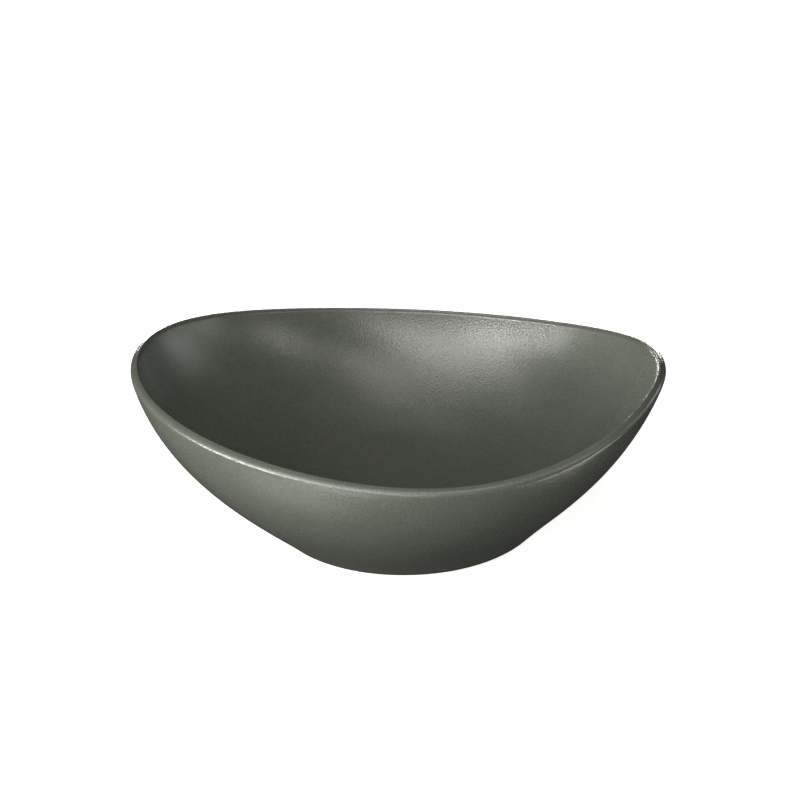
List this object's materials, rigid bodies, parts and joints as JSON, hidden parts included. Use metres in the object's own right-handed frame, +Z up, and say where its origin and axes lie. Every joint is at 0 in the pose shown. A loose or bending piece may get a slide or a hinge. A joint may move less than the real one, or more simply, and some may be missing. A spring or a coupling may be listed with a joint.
{
  "type": "oval stoneware bowl",
  "caption": "Oval glazed stoneware serving bowl with a wavy rim that rises at both ends, a rolled lip and a low foot ring.",
  "frame": {"origin": "on the resting plane, under the middle of the rim's outline", "axes": "+X along the bowl's longer side, +Y across it towards its narrower side, +Z up"},
  "size_m": [0.239, 0.2154, 0.0833],
  "materials": {
    "bare_stoneware": "unglazed fired stoneware, light grey-brown, slightly rough",
    "matt_glaze_outside": "satin-matt grey-green glaze with a fine speckle",
    "matt_glaze_inside": "satin-matt grey-green glaze with a fine speckle",
    "matt_glaze_under": "satin-matt grey-green glaze, thinner under the foot"
  },
  "bodies": {
    "root": {"stoneware_body": "bare_stoneware", "outer_glaze": "matt_glaze_outside", "inner_glaze": "matt_glaze_inside", "hollow_glaze": "matt_glaze_under"}
  },
  "joints": []
}
